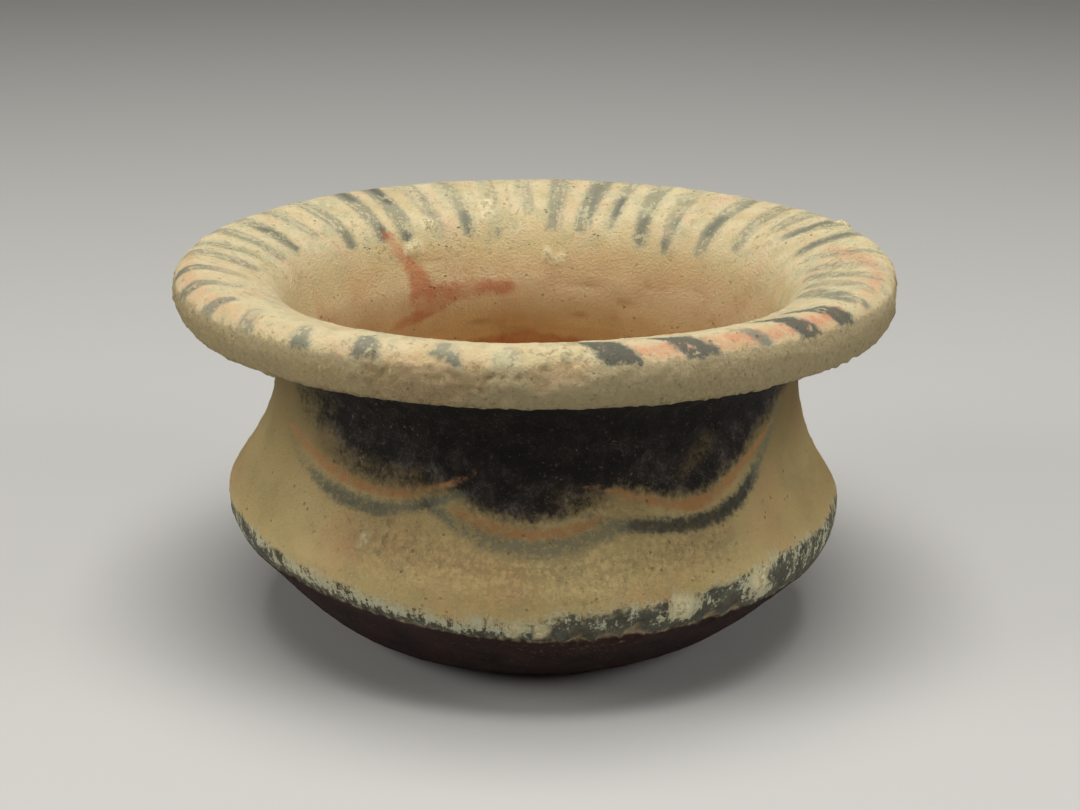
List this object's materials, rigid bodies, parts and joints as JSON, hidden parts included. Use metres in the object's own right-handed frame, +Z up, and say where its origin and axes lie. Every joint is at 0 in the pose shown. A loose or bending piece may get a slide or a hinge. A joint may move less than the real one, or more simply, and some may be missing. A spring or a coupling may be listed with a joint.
{
  "type": "terracotta bowl",
  "caption": "Small hand-built painted pottery bowl with a keeled low body, a drawn-in neck and a wide flaring mouth with a thick rounded lip.",
  "frame": {"origin": "on the ground under the middle of the flat foot", "axes": "+Z up along the bowl's axis, out of its mouth; the side that the picture shows faces -Y"},
  "size_m": [0.15, 0.15, 0.0795],
  "materials": {
    "painted_clay": "matt buff earthenware with worn black and orange-red paint and a thin sandy crust"
  },
  "bodies": {
    "root": {"bowl": "painted_clay"}
  },
  "joints": []
}
